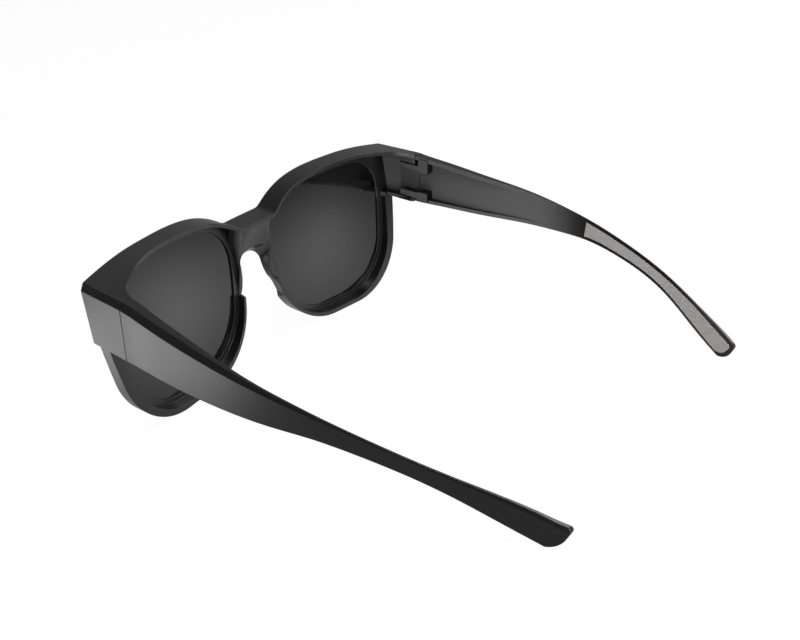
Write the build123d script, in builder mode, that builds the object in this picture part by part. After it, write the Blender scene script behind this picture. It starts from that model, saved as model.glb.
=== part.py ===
from build123d import *
import os
from math import atan2, cos, degrees, radians, sin

os.makedirs("parts", exist_ok=True)

# Worn frame while building: X to the wearer's left, Y to the rear, Z up.
# Zero is midway between the two front top corners, level with the end pieces' tops.
# Every left piece is built first, and its right twin is its mirror image.

# Curved front
corner_half_width = 73.5     # centre to an end piece's outer face, at the front corner
front_sagitta = 6.8          # how far the nose stands ahead of the corners
front_lean = 8.0             # degrees, the lower edge of the front lies to the rear
front_wall = 2.1             # thickness of the wall that holds the lenses
front_blank = 14.0           # material ahead of the curved front before it is trimmed

# Brow and bridge
brow_rise = 2.4              # highest point of the brow above the end pieces
bridge_drop = 6.0            # top of the bridge below the end pieces
bridge_heights = (-6.0, -11.0, -16.3, -24.0, -31.0, -37.0)
bridge_flanks = (10.4, 9.9, 9.3, 8.7, 9.2, 11.6)        # where its side meets the rim's front wall
bridge_corners = (8.6, 8.4, 8.2, 8.0, 8.4, 11.0)        # its rear corner
bridge_rears = (3.0, 1.3, 0.4, 0.2, 0.2, 0.2)     # its rear face at that corner
bridge_middles = (1.6, 0.0, -0.9, -1.0, -1.0, -1.0)
bridge_rounds = (2.6, 2.4, 1.2, 0.6, 0.5, 0.4)
brow_climb_x = 21.6
brow_climb_z = 0.5
brow_peak_x = 44.0
brow_start_share = 0.75      # slopes of the brow's top at the bridge and at the corner
brow_end_share = -0.16
lip_waist = 1.7              # rear edge of the brow shelf where it is narrowest
lip_waist_x = 23.8
lip_middle_x = 44.9
lip_middle_y = 3.2
lip_outer_inset = 10.6
lip_outer_y = 10.1
lip_start_share = 0.25       # slopes of the lip at the seam and at the bridge
lip_end_share = 0.22
shelf_thickness = 1.3
brow_round = 4.0             # where the brow runs into the bridge

# Lens opening: a four-sided shape with bowed sides, corners from the outer top round
opening_inset = 6.9          # its outer corners inside the front corner's outer face
opening_inner = 10.3
opening_top_outer = -4.3
opening_top_inner = -6.0
opening_low_inset = 12.9
opening_low_inner = 17.8
opening_bottom = -52.0
opening_bottom_rise = 0.8    # the bottom is this much higher at its nose end
opening_bows = (2.8, 3.0, 0.3, 1.2)
opening_corner_radii = (12.0, 14.0, 22.0, 21.0)
opening_corner_share = 0.55   # no corner is rounder than this share of the bottom's width

# Rim around each opening
band_side = 2.4              # flat band between the opening and the rim's wall
band_top = 6.0               # reaches up to the brow shelf
band_bottom = 1.5
rim_wall = 1.6               # the rim's wall that stands to the rear
rim_wall_outer = 4.3         # at the outer top corner
rim_wall_side = 2.1          # at the outer lower corner
rim_wall_nose = 0.6
hidden_radius = 3.0          # rim corners that the brow and the end piece cover
skirt_rear = 4.5             # rear edge of the rim's wall at the middle of the rim
skirt_middle = (37.0, -26.3)
skirt_wrap_share = 0.10      # its slope to the rear per millimetre outward
skirt_lean_share = 0.163     # its slope to the rear per millimetre downward
nose_relief = 0.2            # rear edge of the rim beside the nose
nose_relief_end = -31.5

# Nose arch: half widths and heights at the front and at the rear, below its crown
nose_front = -7.0
nose_rear = 3.0
arch_front_crown = -22.2
arch_front_halves = (2.3, 3.4, 5.8, 9.4, 12.2)
arch_front_heights = (-23.6, -26.6, -30.5, -34.5, -38.8)
arch_rear_crown = -13.4
arch_rear_halves = (7.2, 8.9, 7.7, 6.8, 10.4)
arch_rear_heights = (-13.9, -15.9, -20.5, -28.5, -38.8)
arch_foot_share = 0.35       # its slope at the foot

# Lens
lens_thickness = 1.1
lens_lip = 1.0               # how far the lens edge reaches into its groove
lens_clearance = 0.05
groove_depth = 0.4           # front lip of the groove

# End piece
seam = 18.8                  # rear end of an end piece
seam_gap = 0.2
end_height = 19.0
end_flare = 1.2              # outward growth of the outer face from corner to seam
bevel_width = 1.5
bevel_drop = 1.95
end_inset = 3.6              # top wall's inner edge at the seam, inside the front corner
ledge_inset = 4.2
ledge_thickness = 1.3
ledge_round = 1.6            # its inner corner at the seam
top_wall = 3.8               # above the lugs
block_inset = 3.3
web_inset = 3.1              # inner face of the outer wall at the front corner

# Hinge
pivot_inset = 2.3            # inside the front corner's outer face
pivot_y = 13.2
pin_radius = 0.6
pin_running = 0.04
pin_blind = 2.4              # depth of the upper pin in the top wall
lug_half_width = 1.35
lug_nose = 1.35              # from the pivot to the lug's front end
lug_inner_round = 0.6
lug_outer_round = 1.3
lug_sweep = 1.56             # radius swept by the lug's inner front corner
lug_gap = 0.3                # above the upper lug and below the lower one
web_clearance = 0.2
upper_lug = 1.9
lower_lug = 2.4
riser_front = 20.4
riser_rear = 24.8

# Temple
temple_length = 136.4        # seam to tip, along Y
temple_tuck = 20.1           # how far the tip lies inside the seam
temple_drop = 27.5
root_thickness = 4.8
temple_web = 1.5
channel_floor = 1.4
channel_roof = 1.7
channel_length = 64.0        # where its floor runs out
channel_runout = 8.0
channel_sections = 8
tip_top_round = 1.6
tip_low_round = 5.4
tip_cant = 3.4               # the tip's lower corner lies this much further forward
tip_top_slope = 0.41
tip_low_slope = 0.50
tip_reach = 14.0
station_share = (0.0, 0.19, 0.375, 0.56, 0.745, 0.89, 1.0)
inward_share = (0.0, -0.10, -0.13, 0.025, 0.335, 0.70, 1.0)
drop_share = (0.0, 0.105, 0.207, 0.355, 0.564, 0.787, 1.0)
height_share = (1.0, 0.824, 0.597, 0.337, 0.271, 0.403, 0.516)
top_share = (1.0, 0.74, 0.38, 0.19, 0.16, 0.27, 0.42)
low_share = (0.80, 0.70, 0.54, 0.46, 0.46, 0.54, 0.56)
bevel_share = (1.0, 0.95, 0.60, 0.25, 0.20, 0.40, 0.55)
section_count = 12

# Ear pad
pad_start = 71.5             # from the seam
pad_sink = 0.7
pad_proud = 0.25
pad_margin = 1.1
pad_tip_margin = 1.6
pad_sections = 6

settle_trials = 4
overrun = 1.0
cut_reach = 80.0

# Derived places
end_inner = corner_half_width - end_inset
ledge_inner = corner_half_width - ledge_inset
block_inner = corner_half_width - block_inset
web_corner = corner_half_width - web_inset
pivot_x = corner_half_width - pivot_inset
opening_outer = corner_half_width - opening_inset
opening_low_outer = corner_half_width - opening_low_inset
lip_outer_x = corner_half_width - lip_outer_inset
front_radius = ((corner_half_width - bevel_width)**2 + front_sagitta**2) / (2*front_sagitta)
lean = radians(front_lean)
axis_plane = Plane(
    origin=(0, -front_sagitta + front_radius*cos(lean), front_radius*sin(lean)),
    x_dir=(1, 0, 0),
    z_dir=(0, -sin(lean), cos(lean)),
)
skirt_plane = Plane(
    origin=(skirt_middle[0], skirt_rear, skirt_middle[1]),
    x_dir=(1, skirt_wrap_share, 0),
    z_dir=(-skirt_wrap_share, 1, skirt_lean_share),
)
opening_corners = (
    (opening_outer, opening_top_outer),
    (opening_inner, opening_top_inner),
    (opening_low_inner, opening_bottom + opening_bottom_rise),
    (opening_low_outer, opening_bottom),
)
corner_grow = ((1, 1), (-1, 1), (-1, -1), (1, -1))
roundest = opening_corner_share*(opening_low_outer - opening_low_inner)
opening_radii = tuple(min(radius, roundest) for radius in opening_corner_radii)


def moved_corners(moves):
    """The opening's corners moved outward, outer top corner first."""
    return [
        (x + dx*sx, z + dz*sz)
        for (x, z), (dx, dz), (sx, sz) in zip(opening_corners, moves, corner_grow)
    ]


def bowed_face(sketch, corners, bows, radii):
    """A four-sided face with bowed sides and rounded corners."""
    with BuildLine() as sides:
        for start, end, bow in zip(corners, corners[1:] + corners[:1], bows):
            SagittaArc(start, end, -bow)
    make_face(sides.edges())
    for corner, radius in zip(corners, radii):
        fillet(sketch.vertices().sort_by_distance(corner + (0,))[0], radius)


def smooth(values, share):
    """Catmull-Rom value at a share of the temple's length."""
    last = len(station_share) - 1
    k = max(i for i in range(last) if station_share[i] <= share or i == 0)
    before, after = max(k - 1, 0), min(k + 2, last)
    span = station_share[k + 1] - station_share[k]
    t = (share - station_share[k])/span
    start_slope = (values[k + 1] - values[before])/(station_share[k + 1] - station_share[before])*span
    end_slope = (values[after] - values[k])/(station_share[after] - station_share[k])*span
    return (
        (2*t**3 - 3*t**2 + 1)*values[k]
        + (t**3 - 2*t**2 + t)*start_slope
        + (3*t**2 - 2*t**3)*values[k + 1]
        + (t**3 - t**2)*end_slope
    )


def temple_place(along):
    """Outer face, top, bottom, two thicknesses and bevel at a distance behind the seam."""
    share = along/temple_length
    outer = corner_half_width + end_flare - temple_tuck*smooth(inward_share, share)
    top = -temple_drop*smooth(drop_share, share)
    bottom = top - end_height*smooth(height_share, share)
    return (
        outer,
        top,
        bottom,
        root_thickness*smooth(top_share, share),
        root_thickness*smooth(low_share, share),
        smooth(bevel_share, share),
    )


def temple_inner(along, height):
    """Inner face of the temple at a height."""
    outer, top, bottom, top_wide, low_wide, bevel = temple_place(along)
    return outer - top_wide + (top_wide - low_wide)*(top - height)/(top - bottom)


def hidden_corners(growth):
    """Corner radii of a larger outline, small at the top where other walls cover it."""
    return [hidden_radius, hidden_radius] + [radius + growth for radius in opening_radii[2:]]


def trim_round(radius, mode=Mode.INTERSECT):
    """Trim to a cylinder about the front's leaning axis."""
    with BuildSketch(axis_plane.offset(-2*cut_reach)) as disc:
        Circle(radius)
    extrude(disc.sketch, amount=4*cut_reach, mode=mode)


def below_brow(drop, floor, reach):
    """The region below the brow's top, seen from the front."""
    with BuildSketch(Plane.XZ.offset(front_blank)) as region:
        with BuildLine():
            bridge_top = Line((0, -bridge_drop), (bridge_corners[0], -bridge_drop))
            brow_top = Spline(
                bridge_top @ 1,
                (brow_climb_x, brow_climb_z),
                (brow_peak_x, brow_rise),
                (corner_half_width - bevel_width, 0),
                tangents=((1, brow_start_share), (1, brow_end_share)),
            )
            end_top = Line(brow_top @ 1, (reach, 0))
            end_side = Line(end_top @ 1, (reach, floor))
            region_floor = Line(end_side @ 1, (0, floor))
            Line(region_floor @ 1, bridge_top @ 0)
        make_face()
        fillet(region.vertices().sort_by_distance((bridge_corners[0], -bridge_drop, 0))[0], brow_round)
    return region.sketch.moved(Location((0, 0, -drop)))


# Cavity behind each lens, from the flat band to the rear, below the brow shelf
with BuildPart() as rim_cavity:
    with BuildSketch(Plane.XZ.offset(front_blank)) as cavity_outline:
        bowed_face(
            cavity_outline,
            moved_corners((
                (band_side, band_top),
                (band_side, band_top),
                (band_side, band_bottom),
                (band_side, band_bottom),
            )),
            opening_bows,
            hidden_corners(band_bottom),
        )
    extrude(amount=-(front_blank + cut_reach))
    trim_round(front_radius - front_wall)
    extrude(
        below_brow(shelf_thickness, opening_bottom - front_blank, cut_reach),
        amount=-(front_blank + cut_reach),
        mode=Mode.INTERSECT,
    )

# Pocket of the end piece, where the temple's lugs turn
web_at_pivot = pivot_x + lug_sweep + web_clearance
web_at_seam = corner_half_width + end_flare - temple_web
pocket_start = opening_outer + lens_lip - band_bottom
with BuildPart() as end_pocket:
    with BuildSketch(Plane.XY.offset(-end_height + ledge_thickness)):
        with BuildLine():
            Polyline(
                (pocket_start, -front_sagitta),
                (web_corner, -front_sagitta),
                (web_corner, 0),
                (web_at_pivot, pivot_y - 2*lug_sweep),
                (web_at_pivot, pivot_y + lug_sweep),
                (web_at_seam, seam),
                (web_at_seam, seam + overrun),
                (pocket_start, seam + overrun),
                close=True,
            )
        make_face()
    extrude(amount=end_height - ledge_thickness - top_wall)
    with BuildSketch(Plane.XY.offset(-top_wall - overrun)):
        with BuildLine():
            Polyline(
                (pocket_start, -front_sagitta),
                (block_inner, -front_sagitta),
                (block_inner, seam + overrun),
                (pocket_start, seam + overrun),
                close=True,
            )
        make_face()
    extrude(amount=top_wall + overrun - shelf_thickness)
    trim_round(front_radius - front_wall)

# Lens, its groove and the opening
with BuildPart() as lens_left:
    with BuildSketch(Plane.XZ.offset(front_blank)) as lens_outline:
        bowed_face(lens_outline, list(opening_corners), opening_bows, opening_radii)
        offset(amount=lens_lip - lens_clearance)
    extrude(amount=-(front_blank + cut_reach))
    trim_round(front_radius - groove_depth)
    trim_round(front_radius - groove_depth - lens_thickness, mode=Mode.SUBTRACT)

with BuildPart() as lens_groove:
    with BuildSketch(Plane.XZ.offset(front_blank)) as groove_outline:
        bowed_face(groove_outline, list(opening_corners), opening_bows, opening_radii)
        offset(amount=lens_lip)
    extrude(amount=-(front_blank + cut_reach))
    trim_round(front_radius - groove_depth + lens_clearance)
    trim_round(front_radius - groove_depth - lens_thickness - lens_clearance, mode=Mode.SUBTRACT)

with BuildPart() as lens_window:
    with BuildSketch(Plane.XZ.offset(front_blank)) as window_outline:
        bowed_face(window_outline, list(opening_corners), opening_bows, opening_radii)
    extrude(amount=-(front_blank + seam))

# Space for the nose under the bridge, wider and higher at the rear
with BuildPart() as nose_space:
    for place, crown, halves, heights in (
        (nose_front, arch_front_crown, arch_front_halves, arch_front_heights),
        (nose_rear, arch_rear_crown, arch_rear_halves, arch_rear_heights),
    ):
        left_half = list(zip(halves, heights))
        right_half = [(-half, height) for half, height in reversed(left_half)]
        with BuildSketch(Plane.XZ.offset(-place)):
            with BuildLine():
                arch = Spline(
                    *right_half,
                    (0, crown),
                    *left_half,
                    tangents=((arch_foot_share, 1), (arch_foot_share, -1)),
                )
                Polyline(
                    arch @ 1,
                    (halves[-1], 2*opening_bottom),
                    (-halves[-1], 2*opening_bottom),
                    arch @ 0,
                )
            make_face()
    loft()

# Rim around one lens, with its wall trimmed to a leaning plane
with BuildPart() as rim_left:
    with BuildSketch(Plane.XZ.offset(front_blank)) as rim_outline:
        bowed_face(
            rim_outline,
            moved_corners((
                (band_side + rim_wall_outer, overrun),
                (band_side + rim_wall_nose, overrun),
                (band_side + rim_wall_nose, band_bottom + rim_wall),
                (band_side + rim_wall_side, band_bottom + rim_wall),
            )),
            opening_bows,
            hidden_corners(band_bottom + rim_wall),
        )
    extrude(amount=-(front_blank + cut_reach))
    trim_round(front_radius)
    extrude(
        below_brow(0, opening_bottom - front_blank, cut_reach),
        amount=-(front_blank + cut_reach),
        mode=Mode.INTERSECT,
    )
    split(bisect_by=skirt_plane, keep=Keep.BOTTOM)

# Cut that lowers the wall beside the nose
with BuildPart() as nose_relief_cut:
    with BuildSketch(Plane.YZ):
        with BuildLine():
            Polyline(
                (nose_relief, 0),
                (nose_relief, nose_relief_end),
                (nose_relief + front_blank, nose_relief_end - front_blank/4),
                (nose_relief + front_blank, 0),
                close=True,
            )
        make_face()
    extrude(amount=opening_inner + opening_radii[1]/2)

# Brow shelf in plan, trimmed below the brow's rising top
with BuildPart() as brow_left:
    with BuildSketch(Plane.XY.offset(-end_height)):
        with BuildLine():
            inner_start = Line((0, -front_blank), (corner_half_width, -front_blank))
            corner_side = Line(inner_start @ 1, (corner_half_width, 0))
            flare_side = Line(corner_side @ 1, (corner_half_width + end_flare, seam))
            seam_side = Line(flare_side @ 1, (end_inner, seam))
            lip = Spline(
                seam_side @ 1,
                (lip_outer_x, lip_outer_y),
                (lip_middle_x, lip_middle_y),
                (lip_waist_x, lip_waist),
                (bridge_corners[0], bridge_rears[0]),
                tangents=((-lip_start_share, -1), (-1, lip_end_share)),
            )
            rear_side = Line(lip @ 1, (0, bridge_rears[0]))
            Line(rear_side @ 1, inner_start @ 0)
        make_face()
    extrude(amount=end_height + brow_rise + overrun)
    extrude(
        below_brow(0, -bridge_drop - shelf_thickness, corner_half_width + end_flare + overrun),
        amount=-(front_blank + cut_reach),
        mode=Mode.INTERSECT,
    )
    trim_round(front_radius)

# Outer wall and ledge of the end piece
with BuildPart() as end_block:
    with BuildSketch(Plane.XY.offset(-end_height)) as end_plan:
        with BuildLine():
            Polyline(
                (ledge_inner, -front_blank),
                (corner_half_width, -front_blank),
                (corner_half_width, 0),
                (corner_half_width + end_flare, seam),
                (ledge_inner, seam),
                close=True,
            )
        make_face()
        fillet(end_plan.vertices().sort_by_distance((ledge_inner, seam, 0))[0], ledge_round)
    extrude(amount=end_height)
    trim_round(front_radius)

# Solid bridge and nose side between the rims, thinner below
with BuildPart() as bridge_left:
    for height, flank, corner, rear, middle, round_radius in zip(
        bridge_heights, bridge_flanks, bridge_corners, bridge_rears, bridge_middles, bridge_rounds
    ):
        with BuildSketch(Plane.XY.offset(height)) as level:
            with BuildLine():
                TangentArc((0, middle), (corner, rear), tangent=(1, 0))
                Polyline(
                    (corner, rear),
                    (flank, rear - flank + corner - front_wall),
                    (flank, -front_blank),
                    (0, -front_blank),
                    (0, middle),
                )
            make_face()
            fillet(level.vertices().sort_by_distance((corner, rear, 0))[0], round_radius)
    loft()
    trim_round(front_radius)

# Bevel along the end piece's top outer edge
with BuildPart() as bevel_cut:
    for place in (-front_blank, seam + overrun):
        outer = corner_half_width + end_flare*place/seam
        with BuildSketch(Plane.XZ.offset(-place)):
            with BuildLine():
                Polyline(
                    (outer - 2*bevel_width, bevel_drop),
                    (outer + bevel_width, bevel_drop),
                    (outer + bevel_width, -2*bevel_drop),
                    close=True,
                )
            make_face()
    loft()

with BuildPart() as half_front:
    add(rim_left.part)
    add(nose_relief_cut.part, mode=Mode.SUBTRACT)
    add(brow_left.part)
    add(rim_cavity.part, mode=Mode.SUBTRACT)
    add(end_block.part)
    add(end_pocket.part, mode=Mode.SUBTRACT)
    add(bridge_left.part)
    add(lens_groove.part, mode=Mode.SUBTRACT)
    add(lens_window.part, mode=Mode.SUBTRACT)
    add(nose_space.part, mode=Mode.SUBTRACT)
    add(bevel_cut.part, mode=Mode.SUBTRACT)

with BuildPart() as front_worn:
    add(half_front.part)
    mirror(about=Plane.YZ)
    with BuildSketch(Plane.XY.offset(-top_wall + pin_blind)):
        with Locations((pivot_x, pivot_y), (-pivot_x, pivot_y)):
            Circle(pin_radius)
    extrude(amount=-(end_height + overrun), mode=Mode.SUBTRACT)

# Hinge pins, pressed into the end piece above and below the lugs
upper_lug_top = -top_wall - lug_gap
lower_lug_bottom = -end_height + ledge_thickness + lug_gap
lower_lug_top = lower_lug_bottom + lower_lug
with BuildPart() as upper_pin_left:
    with BuildSketch(Plane.XY.offset(upper_lug_top - upper_lug)):
        with Locations((pivot_x, pivot_y)):
            Circle(pin_radius)
    extrude(amount=upper_lug + lug_gap + pin_blind)

with BuildPart() as lower_pin_left:
    with BuildSketch(Plane.XY.offset(-end_height)):
        with Locations((pivot_x, pivot_y)):
            Circle(pin_radius)
    extrude(amount=ledge_thickness + lug_gap + lower_lug)

# Temple: a tapering blade lofted through sections behind the seam
blade_start = seam + seam_gap
tip_rear = blade_start + temple_length
tip_outer, tip_top, tip_low, tip_top_wide, tip_low_wide, tip_bevel = temple_place(temple_length)


def trim_tip(inset):
    """Trim the rear end to a rounded outline seen from the side."""
    low_y = tip_rear - tip_cant - inset
    low_z = tip_low + inset + tip_low_slope*(tip_cant + inset)
    with BuildSketch(Plane.YZ) as outline:
        with BuildLine():
            Polyline(
                (0, tip_top - inset + tip_top_slope*tip_rear),
                (tip_rear - inset, tip_top - inset + tip_top_slope*inset),
                (low_y, low_z),
                (low_y - tip_reach, low_z + tip_low_slope*tip_reach),
                (low_y - tip_reach, -cut_reach),
                (0, -cut_reach),
                close=True,
            )
        make_face()
        fillet(outline.vertices().sort_by_distance((low_y, low_z, 0))[0], tip_low_round - inset)
        fillet(outline.vertices().sort_by(Axis.X)[-1], tip_top_round - inset/2)
    extrude(outline.sketch, amount=2*cut_reach, mode=Mode.INTERSECT)


# Ear pad: a strip sunk into the inner side of the blade
with BuildPart() as pad_worn:
    for step in range(pad_sections + 1):
        along = pad_start + (temple_length - pad_start)*step/pad_sections
        outer, top, bottom, top_wide, low_wide, bevel = temple_place(along)
        pad_top = top - pad_margin
        pad_low = bottom + pad_margin
        with BuildSketch(Plane.XZ.offset(-(blade_start + along))):
            with BuildLine():
                Polyline(
                    (temple_inner(along, pad_top) + pad_sink, pad_top),
                    (temple_inner(along, pad_low) + pad_sink, pad_low),
                    (temple_inner(along, pad_low) - pad_proud, pad_low),
                    (temple_inner(along, pad_top) - pad_proud, pad_top),
                    close=True,
                )
            make_face()
    loft()
    trim_tip(pad_tip_margin)

# Channel along the blade's inner side, shallower to the rear
with BuildPart() as temple_channel:
    for step in range(channel_sections + 1):
        along = -overrun + (channel_length + channel_runout)*step/channel_sections
        outer, top, bottom, top_wide, low_wide, bevel = temple_place(along)
        web_face = outer - temple_web - (low_wide - temple_web)*along/channel_length
        with BuildSketch(Plane.XZ.offset(-(blade_start + along))):
            with BuildLine():
                Polyline(
                    (web_face, bottom + channel_floor),
                    (web_face, top - channel_roof),
                    (outer - 2*root_thickness, top - channel_roof),
                    (outer - 2*root_thickness, bottom + channel_floor),
                    close=True,
                )
            make_face()
    loft()

with BuildPart() as temple_worn:
    for step in range(section_count + 1):
        along = temple_length*step/section_count
        outer, top, bottom, top_wide, low_wide, bevel = temple_place(along)
        with BuildSketch(Plane.XZ.offset(-(blade_start + along))):
            with BuildLine():
                Polyline(
                    (outer - bevel_width*bevel, top),
                    (outer, top - bevel_drop*bevel),
                    (outer, bottom),
                    (outer - low_wide, bottom),
                    (outer - top_wide, top),
                    close=True,
                )
            make_face()
    loft()
    trim_tip(0)
    add(temple_channel.part, mode=Mode.SUBTRACT)
    add(pad_worn.part, mode=Mode.SUBTRACT)
    block_width = corner_half_width + end_flare - temple_web/2 - pivot_x + lug_half_width
    for lug_low, lug_high, block_low, block_high in (
        (upper_lug_top - upper_lug, upper_lug_top, upper_lug_top - upper_lug, -channel_roof),
        (lower_lug_bottom, lower_lug_top, -end_height + channel_floor, lower_lug_top),
    ):
        with BuildSketch(Plane.XY.offset(lug_low)) as lug_plan:
            with Locations((pivot_x - lug_half_width, pivot_y - lug_nose)):
                Rectangle(2*lug_half_width, riser_rear - pivot_y + lug_nose, align=(Align.MIN, Align.MIN))
            inner_corner = (pivot_x - lug_half_width, pivot_y - lug_nose, 0)
            outer_corner = (pivot_x + lug_half_width, pivot_y - lug_nose, 0)
            fillet(lug_plan.vertices().sort_by_distance(inner_corner)[0], lug_inner_round)
            fillet(lug_plan.vertices().sort_by_distance(outer_corner)[0], lug_outer_round)
        extrude(amount=lug_high - lug_low)
        with BuildSketch(Plane.XY.offset(block_low - overrun/2)):
            with Locations((pivot_x - lug_half_width, riser_front)):
                Rectangle(block_width, riser_rear - riser_front, align=(Align.MIN, Align.MIN))
        extrude(amount=block_high - block_low + overrun)
    with BuildSketch(Plane.XY.offset(-end_height)):
        with Locations((pivot_x, pivot_y)):
            Circle(pin_radius + pin_running)
    extrude(amount=end_height, mode=Mode.SUBTRACT)

# Set the glasses down: turned back about X until rims and tips touch the floor
front_low = front_worn.part.vertices().sort_by(Axis.Z)[0]
temple_low = temple_worn.part.vertices().sort_by(Axis.Z)[0]
turn = -degrees(atan2(temple_low.Z - front_low.Z, temple_low.Y - front_low.Y))
for trial in range(settle_trials):
    front_floor = front_worn.part.rotate(Axis.X, turn).bounding_box().min
    temple_floor = temple_worn.part.rotate(Axis.X, turn).bounding_box().min
    turn -= degrees((temple_floor.Z - front_floor.Z)/temple_length)

left_pieces = {
    "lens": lens_left.part,
    "temple": temple_worn.part,
    "ear_pad": pad_worn.part,
    "hinge_pin_upper": upper_pin_left.part,
    "hinge_pin_lower": lower_pin_left.part,
}
worn = {"front_frame": front_worn.part}
for name, piece in left_pieces.items():
    worn[name + "_left"] = piece
    worn[name + "_right"] = mirror(piece, about=Plane.YZ)

settled = {name: piece.rotate(Axis.X, turn) for name, piece in worn.items()}
boxes = [piece.bounding_box() for piece in settled.values()]
front_y = min(box.min.Y for box in boxes)
rear_y = max(box.max.Y for box in boxes)
floor_z = min(box.min.Z for box in boxes)
for name, piece in settled.items():
    placed = piece.moved(Location((0, -(front_y + rear_y)/2, -floor_z)))
    placed.label = name
    export_step(placed, f"parts/{name}.step")
    box = placed.bounding_box()
    print(name, round(placed.volume), len(placed.solids()), placed.is_valid, box.min, box.max)
print("turn", turn, "shift", -(front_y + rear_y)/2, -floor_z)
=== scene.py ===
import math

import bpy
from mathutils import Matrix, Vector


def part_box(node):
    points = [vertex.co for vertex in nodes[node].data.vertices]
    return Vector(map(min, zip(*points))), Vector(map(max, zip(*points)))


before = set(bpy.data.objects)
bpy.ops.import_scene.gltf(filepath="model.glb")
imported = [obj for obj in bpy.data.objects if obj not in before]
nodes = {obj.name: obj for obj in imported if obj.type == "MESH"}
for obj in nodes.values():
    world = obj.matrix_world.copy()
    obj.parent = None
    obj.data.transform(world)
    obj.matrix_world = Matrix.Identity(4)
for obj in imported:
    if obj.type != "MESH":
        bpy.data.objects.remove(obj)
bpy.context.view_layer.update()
print("frame loaded with", len(nodes), "nodes")

# Lengths are in metres. The glasses stand at rest on the floor, wearer's left on +X.

grainDetail = {
    "grain": 3.0,
    "flow": 2.0,
}
framePlastic = {
    "colour": (0.0025, 0.0025, 0.0026),
    "paleColour": (0.0045, 0.0045, 0.0047),
    "roughness": 0.3,
    "roughnessSpread": 0.05,
    "grainScale": 5200.0,
    "grainDepth": 0.000006,
    "flowScale": 38.0,
    "edgeRadius": 0.0004,  # edges are rounded in the shading only
    "edgeSamples": 6,
    "ior": 1.5,
}
# Painted light: the faces that look toward the middle plane get a paler, more matte copy of the same
# plastic, standing in for the light that falls on them
paintedLitFaces = {
    "colour": (0.097, 0.097, 0.098),
    "roughness": 0.5,
    "turnStart": -0.6,  # -1 is a face that looks straight at the middle plane
    "turnEnd": -0.85,
    "fadeStart": -0.004,  # along the arms, ahead of the pads
    "fadeEnd": 0.017,
    "frontLeast": (0.064, 0.036),  # least distance from the middle plane, least height
    "templeLeast": (0.03, 0.0),
}
# Painted reflection: the lens is painted lighter in the middle, fading to dark at its edges
paintedReflectionLens = {
    "paintedReflectionMiddle": (0.0245, 0.0245, 0.025),
    "edgeColour": (0.0025, 0.0025, 0.0026),
    "fadeReach": 0.031,
    "roughness": 0.035,
    "mistRoughness": 0.09,
    "mistScale": 55.0,
    "ior": 1.52,
}
earPad = {
    "colour": (0.375, 0.35, 0.345),
    "speckColour": (0.325, 0.305, 0.3),
    "roughness": 0.62,
    "speckScale": 2600.0,
    "speckStart": 0.4,
    "speckEnd": 0.6,
    "grainDepth": 0.000008,
    "ior": 1.46,
}
pinSteel = {
    "colour": (0.42, 0.42, 0.43),
    "leastRoughness": 0.21,
    "mostRoughness": 0.39,
    "drawScale": 1800.0,
}
floorLook = {
    "colour": (0.86, 0.86, 0.86),
    "whiteness": 0.97,  # share of pure white that the camera sees
    "mirroredShare": 0.9,  # the same for mirrored rays, outside the pool
    # the painted glow that mirrored rays see, strongest near the glasses
    "mirroredNear": 1.15,
    "mirroredFar": 0.33,
    "mirrorMiddle": (-0.035, -0.035, 0.0),
    "mirrorReach": 0.135,
    "poolMiddle": (0.15, -0.145, 0.0),
    "poolEdge": 0.055,
    "poolReach": 0.135,
    "size": 6.0,
}
skyLook = {
    "wallWay": (-0.755, -0.554, 0.352),
    "wallStart": 0.25,
    "wallEnd": 0.95,
    "dark": 0.18,
    "bright": 0.34,
    "backdrop": 1.05,
}
softboxes = {
    "topBox": {
        "place": (0.1, 0.3, 0.9),
        "target": (0.0, 0.0, 0.03),
        "size": (0.8, 0.8),
        "power": 9.5,
        "mirrored": False,
    },
    "rearBox": {
        "place": (-0.15, 0.85, 0.08),
        "target": (0.0, -0.07, 0.04),
        "size": (0.16, 0.12),
        "power": 4.0,
        "mirrored": True,
    },
    "lipBox": {
        "place": (-0.70, 0.39, 0.60),
        "target": (0.0, -0.07, 0.05),
        "size": (0.6, 0.6),
        "power": 5.0,
        "mirrored": True,
    },
}
pools = {
    "frontPool": {
        "place": (0.3, -0.35, 0.9),
        "target": (0.15, -0.145, 0.0),
        "angle": 13.0,
        "softness": 0.05,
        "power": 84.0,
    },
    "innerPool": {
        "place": (0.0, 0.3, 0.95),
        "target": (-0.03, -0.03, 0.0),
        "angle": 12.0,
        "softness": 0.2,
        "power": 58.0,
    },
}
camera = {
    "place": (0.24028, 0.18754, 0.16433),
    "forward": (-0.700010, -0.581608, -0.414389),
    "up": (-0.401221, -0.159726, 0.901947),
    "lens": 47.82,
    "sensor": 36.0,
    "clipStart": 0.01,
}
white = (1.0, 1.0, 1.0)


def nodeTree(name):
    material = bpy.data.materials.new(name)
    material.use_nodes = True
    material.node_tree.nodes.clear()
    return material, material.node_tree


# Inputs given as sockets are linked, and all others are set
def addNode(tree, kind, inputs, **settings):
    node = tree.nodes.new(kind)
    for key, value in settings.items():
        setattr(node, key, value)
    for name, value in inputs.items():
        if isinstance(value, bpy.types.NodeSocket):
            tree.links.new(value, node.inputs[name])
        else:
            node.inputs[name].default_value = value
    return node


def opaque(colour):
    return (*colour, 1.0)


def calculate(tree, operation, first, second=0.0):
    node = addNode(tree, "ShaderNodeMath", {0: first, 1: second}, operation=operation)
    return node.outputs["Value"]


def remap(tree, value, source, target=(0.0, 1.0), shape="SMOOTHSTEP"):
    limits = {"From Min": source[0], "From Max": source[1], "To Min": target[0], "To Max": target[1]}
    node = addNode(tree, "ShaderNodeMapRange", {"Value": value, **limits}, interpolation_type=shape)
    return node.outputs["Result"]


def mixColour(tree, factor, first, second):
    node = addNode(tree, "ShaderNodeMix", {0: factor, 6: first, 7: second}, data_type="RGBA")
    return node.outputs[2]


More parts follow.
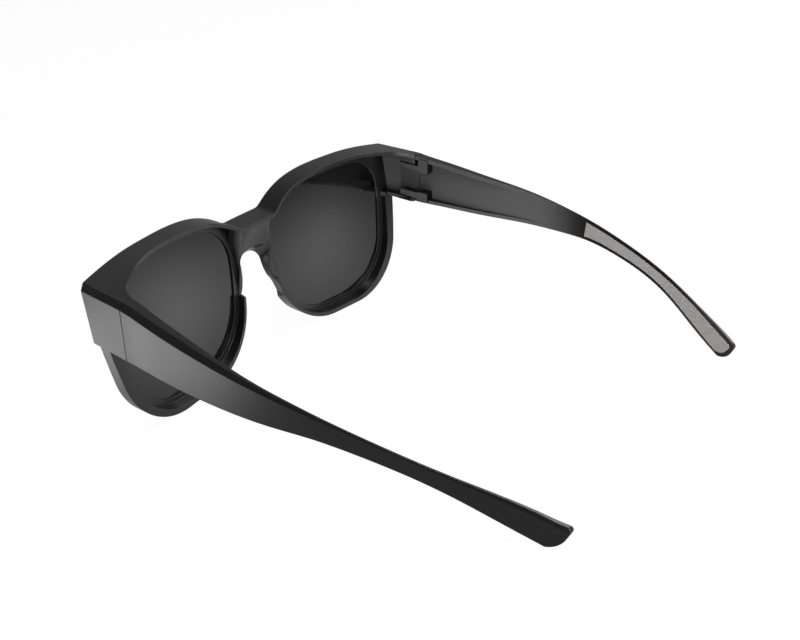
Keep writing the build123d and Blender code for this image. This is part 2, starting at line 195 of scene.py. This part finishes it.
def mixValue(tree, factor, first, second):
    node = addNode(tree, "ShaderNodeMix", {0: factor, 2: first, 3: second}, data_type="FLOAT")
    return node.outputs[0]


def objectPlace(tree):
    return addNode(tree, "ShaderNodeTexCoord", {}).outputs["Object"]


def distanceTo(tree, middle):
    inputs = {0: objectPlace(tree), 1: middle}
    node = addNode(tree, "ShaderNodeVectorMath", inputs, operation="DISTANCE")
    return node.outputs["Value"]


def newGroup(name, inputNames, outputNames):
    group = bpy.data.node_groups.new(name, "ShaderNodeTree")
    for way, names in (("INPUT", inputNames), ("OUTPUT", outputNames)):
        for socketName in names:
            group.interface.new_socket(name=socketName, in_out=way, socket_type="NodeSocketFloat")
    return group


# Fine grain and slow unevenness in object space
def grainGroup(detail):
    group = newGroup("surfaceGrain", ("Grain Scale", "Flow Scale"), ("Grain", "Flow"))
    scales = addNode(group, "NodeGroupInput", {}).outputs
    place = objectPlace(group)
    grainInputs = {"Vector": place, "Scale": scales["Grain Scale"], "Detail": detail["grain"]}
    flowInputs = {"Vector": place, "Scale": scales["Flow Scale"], "Detail": detail["flow"]}
    fine = addNode(group, "ShaderNodeTexNoise", grainInputs)
    slow = addNode(group, "ShaderNodeTexNoise", flowInputs)
    addNode(group, "NodeGroupOutput", {"Grain": fine.outputs["Fac"], "Flow": slow.outputs["Fac"]})
    return group


# Mask of the painted light: the faces that look toward the middle plane, outside a least distance from it
# and above a least height, which fades out along the arms before the pads
def paintedLitSideGroup(look):
    group = newGroup("paintedLitSide", ("Least X", "Least Z"), ("Mask",))
    least = addNode(group, "NodeGroupInput", {}).outputs
    place = addNode(group, "ShaderNodeTexCoord", {}).outputs
    spot = addNode(group, "ShaderNodeSeparateXYZ", {"Vector": place["Object"]}).outputs
    facing = addNode(group, "ShaderNodeSeparateXYZ", {"Vector": place["Normal"]}).outputs
    inward = calculate(group, "MULTIPLY", calculate(group, "SIGN", spot["X"]), facing["X"])
    distance = calculate(group, "ABSOLUTE", spot["X"])
    paintedLightMask = remap(group, inward, (look["turnStart"], look["turnEnd"]))
    limits = (
        calculate(group, "GREATER_THAN", distance, least["Least X"]),
        calculate(group, "GREATER_THAN", spot["Z"], least["Least Z"]),
        remap(group, spot["Y"], (look["fadeStart"], look["fadeEnd"]), (1.0, 0.0)),
    )
    for limit in limits:
        paintedLightMask = calculate(group, "MULTIPLY", paintedLightMask, limit)
    addNode(group, "NodeGroupOutput", {"Mask": paintedLightMask})
    return group


grain = grainGroup(grainDetail)
paintedLitSide = paintedLitSideGroup(paintedLitFaces)


def useGrain(tree, grainScale=0.0, flowScale=0.0):
    scales = {"Grain Scale": grainScale, "Flow Scale": flowScale}
    return addNode(tree, "ShaderNodeGroup", scales, node_tree=grain).outputs


def givePrincipled(tree, inputs):
    shader = addNode(tree, "ShaderNodeBsdfPrincipled", inputs)
    addNode(tree, "ShaderNodeOutputMaterial", {"Surface": shader.outputs["BSDF"]})


def makeFramePlastic(name, look, paintedLit, least):
    material, tree = nodeTree(name)
    surface = useGrain(tree, look["grainScale"], look["flowScale"])
    limits = {"Least X": least[0], "Least Z": least[1]}
    # painted light: faces toward the middle plane are painted paler and more matte
    paintedLightMask = addNode(tree, "ShaderNodeGroup", limits, node_tree=paintedLitSide).outputs["Mask"]
    outer = mixColour(tree, surface["Flow"], opaque(look["colour"]), opaque(look["paleColour"]))
    reach = (look["roughness"] - look["roughnessSpread"], look["roughness"] + look["roughnessSpread"])
    outerRoughness = remap(tree, surface["Flow"], (0.0, 1.0), reach, "LINEAR")
    rounding = addNode(tree, "ShaderNodeBevel", {"Radius": look["edgeRadius"]}, samples=look["edgeSamples"])
    bump = addNode(tree, "ShaderNodeBump", {
        "Distance": look["grainDepth"],
        "Height": surface["Grain"],
        "Normal": rounding.outputs["Normal"],
    })
    givePrincipled(tree, {
        "Base Color": mixColour(tree, paintedLightMask, outer, opaque(paintedLit["colour"])),
        "Roughness": mixValue(tree, paintedLightMask, outerRoughness, paintedLit["roughness"]),
        "IOR": look["ior"],
        "Normal": bump.outputs["Normal"],
    })
    return material


def makeLens(look, middle):
    material, tree = nodeTree("paintedReflectionLens")
    flow = useGrain(tree, flowScale=look["mistScale"])["Flow"]
    # painted reflection, lighter in the middle of the lens
    paintedReflectionFade = remap(tree, distanceTo(tree, middle), (0.0, look["fadeReach"]))
    reach = (look["roughness"], look["mistRoughness"])
    givePrincipled(tree, {
        "Base Color": mixColour(tree, paintedReflectionFade, opaque(look["paintedReflectionMiddle"]), opaque(look["edgeColour"])),
        "Roughness": remap(tree, flow, (0.0, 1.0), reach, "LINEAR"),
        "IOR": look["ior"],
    })
    return material


def makePad(look):
    material, tree = nodeTree("earPad")
    specks = useGrain(tree, grainScale=look["speckScale"])["Grain"]
    sharp = remap(tree, specks, (look["speckStart"], look["speckEnd"]), shape="LINEAR")
    bump = addNode(tree, "ShaderNodeBump", {"Distance": look["grainDepth"], "Height": specks})
    givePrincipled(tree, {
        "Base Color": mixColour(tree, sharp, opaque(look["speckColour"]), opaque(look["colour"])),
        "Roughness": look["roughness"],
        "IOR": look["ior"],
        "Normal": bump.outputs["Normal"],
    })
    return material


def makePin(look):
    material, tree = nodeTree("pinSteel")
    marks = useGrain(tree, grainScale=look["drawScale"])["Grain"]
    reach = (look["leastRoughness"], look["mostRoughness"])
    givePrincipled(tree, {
        "Base Color": opaque(look["colour"]),
        "Metallic": 1.0,
        "Roughness": remap(tree, marks, (0.0, 1.0), reach, "LINEAR"),
    })
    return material


looks = {
    "front_frame": makeFramePlastic("frontPlastic", framePlastic, paintedLitFaces, paintedLitFaces["frontLeast"]),
    "temple": makeFramePlastic("templePlastic", framePlastic, paintedLitFaces, paintedLitFaces["templeLeast"]),
    "ear_pad": makePad(earPad),
    "hinge_pin": makePin(pinSteel),
}

for name, piece in nodes.items():
    for start, material in looks.items():
        if name.startswith(start):
            piece.data.materials.clear()
            piece.data.materials.append(material)
for name in ("lens_left", "lens_right"):
    low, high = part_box(name)
    middle = [(a + b)/2 for a, b in zip(low, high)]
    nodes[name].data.materials.clear()
    nodes[name].data.materials.append(makeLens(paintedReflectionLens, middle))
print("materials given")


# White to the camera. Mirrored rays see a painted glow, white near the glasses and darker further out, a
# painted pool of light for reflections.
def makeFloor(look):
    bpy.ops.mesh.primitive_plane_add(size=look["size"], location=(0, 0, 0))
    floor = bpy.context.object
    floor.name = "studioFloor"
    material, tree = nodeTree("studioFloor")
    rays = addNode(tree, "ShaderNodeLightPath", {}).outputs
    nearness = (look["mirroredNear"], look["mirroredFar"])
    paintedGlowPatch = remap(tree, distanceTo(tree, look["mirrorMiddle"]), (0.0, look["mirrorReach"]), nearness)
    pool = (look["poolEdge"], look["poolReach"])
    outside = remap(tree, distanceTo(tree, look["poolMiddle"]), pool, (0.0, look["mirroredShare"]))
    seen = calculate(tree, "MULTIPLY", rays["Is Camera Ray"], look["whiteness"])
    mirrored = calculate(tree, "MULTIPLY", rays["Is Glossy Ray"], outside)
    shade = addNode(tree, "ShaderNodeBsdfDiffuse", {"Color": opaque(look["colour"])})
    glow = addNode(tree, "ShaderNodeEmission", {
        "Color": opaque(white),
        "Strength": mixValue(tree, rays["Is Glossy Ray"], 1.0, paintedGlowPatch),
    })
    mix = addNode(tree, "ShaderNodeMixShader", {
        "Fac": calculate(tree, "MAXIMUM", seen, mirrored),
        1: shade.outputs["BSDF"],
        2: glow.outputs["Emission"],
    })
    addNode(tree, "ShaderNodeOutputMaterial", {"Surface": mix.outputs["Shader"]})
    floor.data.materials.append(material)


# A studio whose walls are brightest in one direction and dark behind it, white to the camera
def makeWorld(look):
    world = bpy.data.worlds.new("studioWorld")
    bpy.context.scene.world = world
    world.use_nodes = True
    tree = world.node_tree
    tree.nodes.clear()
    way = addNode(tree, "ShaderNodeTexCoord", {}).outputs["Generated"]
    inputs = {0: way, 1: look["wallWay"]}
    along = addNode(tree, "ShaderNodeVectorMath", inputs, operation="DOT_PRODUCT").outputs["Value"]
    wall = remap(tree, along, (look["wallStart"], look["wallEnd"]), (look["dark"], look["bright"]))
    sky = addNode(tree, "ShaderNodeBackground", {"Color": opaque(white), "Strength": wall})
    backdropInputs = {"Color": opaque(white), "Strength": look["backdrop"]}
    backdrop = addNode(tree, "ShaderNodeBackground", backdropInputs)
    mix = addNode(tree, "ShaderNodeMixShader", {
        "Fac": addNode(tree, "ShaderNodeLightPath", {}).outputs["Is Camera Ray"],
        1: sky.outputs["Background"],
        2: backdrop.outputs["Background"],
    })
    addNode(tree, "ShaderNodeOutputWorld", {"Surface": mix.outputs["Shader"]})


makeFloor(floorLook)
makeWorld(skyLook)
print("floor and world made")


def addLamp(name, kind, look):
    light = bpy.data.lights.new(name, kind)
    light.energy = look["power"]
    lamp = bpy.data.objects.new(name, light)
    bpy.context.collection.objects.link(lamp)
    lamp.location = look["place"]
    way = Vector(look["target"]) - Vector(look["place"])
    lamp.rotation_euler = way.to_track_quat("-Z", "Y").to_euler()
    return lamp


for name, look in softboxes.items():
    lamp = addLamp(name, "AREA", look)
    lamp.data.shape = "RECTANGLE"
    lamp.data.size, lamp.data.size_y = look["size"]
    lamp.visible_glossy = look["mirrored"]
for name, look in pools.items():
    lamp = addLamp(name, "SPOT", look)
    lamp.data.spot_size = math.radians(look["angle"])
    lamp.data.spot_blend = 1.0
    lamp.data.shadow_soft_size = look["softness"]
print("lights placed")

cameraData = bpy.data.cameras.new("photoCamera")
cameraData.lens = camera["lens"]
cameraData.sensor_width = camera["sensor"]
cameraData.clip_start = camera["clipStart"]
photoCamera = bpy.data.objects.new("photoCamera", cameraData)
bpy.context.collection.objects.link(photoCamera)
backward = -Vector(camera["forward"]).normalized()
upward = Vector(camera["up"])
rightward = upward.cross(backward).normalized()
upward = backward.cross(rightward)
turn = Matrix((rightward, upward, backward)).transposed().to_4x4()
photoCamera.matrix_world = Matrix.Translation(Vector(camera["place"])) @ turn
bpy.context.scene.camera = photoCamera
bpy.context.scene.view_settings.view_transform = "Standard"
print("camera placed")
